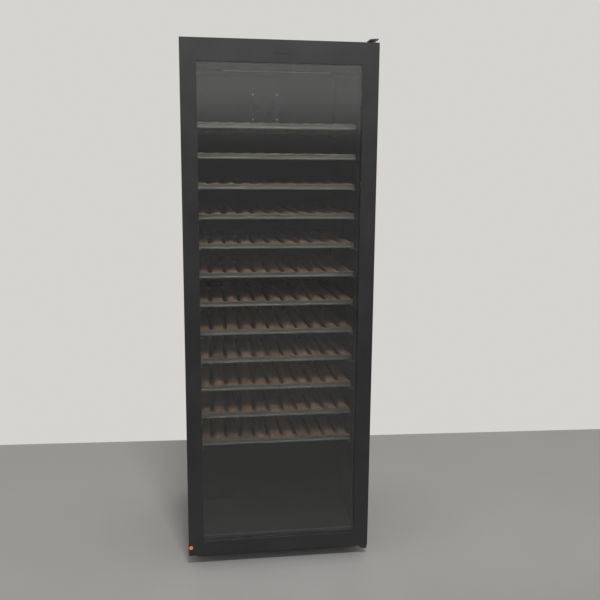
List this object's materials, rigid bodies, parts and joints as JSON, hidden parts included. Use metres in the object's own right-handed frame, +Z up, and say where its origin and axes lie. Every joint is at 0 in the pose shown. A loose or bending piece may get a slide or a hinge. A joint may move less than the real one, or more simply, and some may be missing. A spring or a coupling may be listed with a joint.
{
  "type": "wine cooler",
  "caption": "Tall free-standing wine cabinet with a dark full-height glazed door, slatted wooden shelves that slide and a rear machine compartment.",
  "frame": {"origin": "on the floor under the middle of the cabinet's box", "axes": "+X to the right as seen from the front, +Y from the door to the back, +Z up"},
  "size_m": [0.68, 0.7, 1.913],
  "materials": {
    "charcoal_paint": "satin",
    "galvanised": "dull",
    "dark_steel": "satin",
    "foam": "matt",
    "black_liner": "fine grain",
    "bare_aluminium": "mill",
    "black_plastic": "matt",
    "hinge_steel": "satin",
    "display": "gloss",
    "button_plastic": "satin",
    "frosted_lens": "frosted",
    "compressor_paint": "semi-gloss",
    "rubber": "matt",
    "condenser_paint": "matt",
    "copper": "dull",
    "tinted_glass": "clear, grey tint",
    "spacer_black": "anodised black",
    "grey_plastic": "satin",
    "badge": "satin",
    "orange_sticker": "paper",
    "shelf_wood": "oiled",
    "shelf_trim": "satin"
  },
  "bodies": {
    "cabinet": {"outer_panels": "charcoal_paint", "rear_panel": "galvanised", "base_pan": "dark_steel", "front_flange": "charcoal_paint", "insulation_foam": "foam", "liner": "black_liner", "evaporator": "bare_aluminium", "shelf_runners": "black_liner", "kick_plate": "dark_steel", "levelling_feet": "black_plastic", "top_hinge_bracket": "hinge_steel", "bottom_hinge_bracket": "hinge_steel", "control_box": "black_plastic", "control_display": "display", "led_lens": "frosted_lens", "fan_cover": "black_plastic", "compressor": "compressor_paint", "compressor_mounts": "rubber", "condenser": "condenser_paint", "refrigerant_lines": "copper", "mains_inlet": "black_plastic"},
    "door": {"door_skin": "charcoal_paint", "door_core": "foam", "door_inner_frame": "black_plastic", "outer_glass": "tinted_glass", "inner_glass": "tinted_glass", "glazing_spacer": "spacer_black", "door_gasket": "rubber", "hinge_bushes": "grey_plastic", "hinge_plugs": "grey_plastic", "badge_plate": "badge", "dot_sticker": "orange_sticker"},
    "shelf_01": {"shelf_01_slats": "shelf_wood", "shelf_01_trim": "shelf_trim"},
    "shelf_02": {"shelf_02_slats": "shelf_wood", "shelf_02_trim": "shelf_trim"},
    "shelf_03": {"shelf_03_slats": "shelf_wood", "shelf_03_trim": "shelf_trim"},
    "shelf_04": {"shelf_04_slats": "shelf_wood", "shelf_04_trim": "shelf_trim"},
    "shelf_05": {"shelf_05_slats": "shelf_wood", "shelf_05_trim": "shelf_trim"},
    "shelf_06": {"shelf_06_slats": "shelf_wood", "shelf_06_trim": "shelf_trim"},
    "shelf_07": {"shelf_07_slats": "shelf_wood", "shelf_07_trim": "shelf_trim"},
    "shelf_08": {"shelf_08_slats": "shelf_wood", "shelf_08_trim": "shelf_trim"},
    "shelf_09": {"shelf_09_slats": "shelf_wood", "shelf_09_trim": "shelf_trim"},
    "shelf_10": {"shelf_10_slats": "shelf_wood", "shelf_10_trim": "shelf_trim"},
    "shelf_11": {"shelf_11_slats": "shelf_wood", "shelf_11_trim": "shelf_trim"},
    "shelf_12": {"shelf_12_slats": "shelf_wood", "shelf_12_trim": "shelf_trim"},
    "fan_wheel": {"fan_rotor": "black_plastic"},
    "power_button": {"power_button": "button_plastic"},
    "minus_button": {"minus_button": "button_plastic"},
    "plus_button": {"plus_button": "button_plastic"}
  },
  "joints": [
    {"name": "door_hinge", "type": "hinge", "parent": "cabinet", "child": "door", "pos_m": [0.322, -0.327, 0], "axis": [0, 0, 1], "range_deg": [0, 120]},
    {"name": "shelf_01_slide", "type": "slide", "parent": "cabinet", "child": "shelf_01", "axis": [0, -1, 0], "range_m": [0, 0.07]},
    {"name": "shelf_02_slide", "type": "slide", "parent": "cabinet", "child": "shelf_02", "axis": [0, -1, 0], "range_m": [0, 0.07]},
    {"name": "shelf_03_slide", "type": "slide", "parent": "cabinet", "child": "shelf_03", "axis": [0, -1, 0], "range_m": [0, 0.07]},
    {"name": "shelf_04_slide", "type": "slide", "parent": "cabinet", "child": "shelf_04", "axis": [0, -1, 0], "range_m": [0, 0.07]},
    {"name": "shelf_05_slide", "type": "slide", "parent": "cabinet", "child": "shelf_05", "axis": [0, -1, 0], "range_m": [0, 0.07]},
    {"name": "shelf_06_slide", "type": "slide", "parent": "cabinet", "child": "shelf_06", "axis": [0, -1, 0], "range_m": [0, 0.07]},
    {"name": "shelf_07_slide", "type": "slide", "parent": "cabinet", "child": "shelf_07", "axis": [0, -1, 0], "range_m": [0, 0.07]},
    {"name": "shelf_08_slide", "type": "slide", "parent": "cabinet", "child": "shelf_08", "axis": [0, -1, 0], "range_m": [0, 0.07]},
    {"name": "shelf_09_slide", "type": "slide", "parent": "cabinet", "child": "shelf_09", "axis": [0, -1, 0], "range_m": [0, 0.07]},
    {"name": "shelf_10_slide", "type": "slide", "parent": "cabinet", "child": "shelf_10", "axis": [0, -1, 0], "range_m": [0, 0.07]},
    {"name": "shelf_11_slide", "type": "slide", "parent": "cabinet", "child": "shelf_11", "axis": [0, -1, 0], "range_m": [0, 0.07]},
    {"name": "shelf_12_slide", "type": "slide", "parent": "cabinet", "child": "shelf_12", "axis": [0, -1, 0], "range_m": [0, 0.07]},
    {"name": "fan_spin", "type": "hinge", "parent": "cabinet", "child": "fan_wheel", "pos_m": [0, 0.249, 1.72], "axis": [0, 1, 0], "continuous": true},
    {"name": "power_button_press", "type": "slide", "parent": "cabinet", "child": "power_button", "axis": [0, 1, 0], "range_m": [0, 0.0012], "stiffness_N_per_m": 600},
    {"name": "minus_button_press", "type": "slide", "parent": "cabinet", "child": "minus_button", "axis": [0, 1, 0], "range_m": [0, 0.0012], "stiffness_N_per_m": 600},
    {"name": "plus_button_press", "type": "slide", "parent": "cabinet", "child": "plus_button", "axis": [0, 1, 0], "range_m": [0, 0.0012], "stiffness_N_per_m": 600}
  ]
}
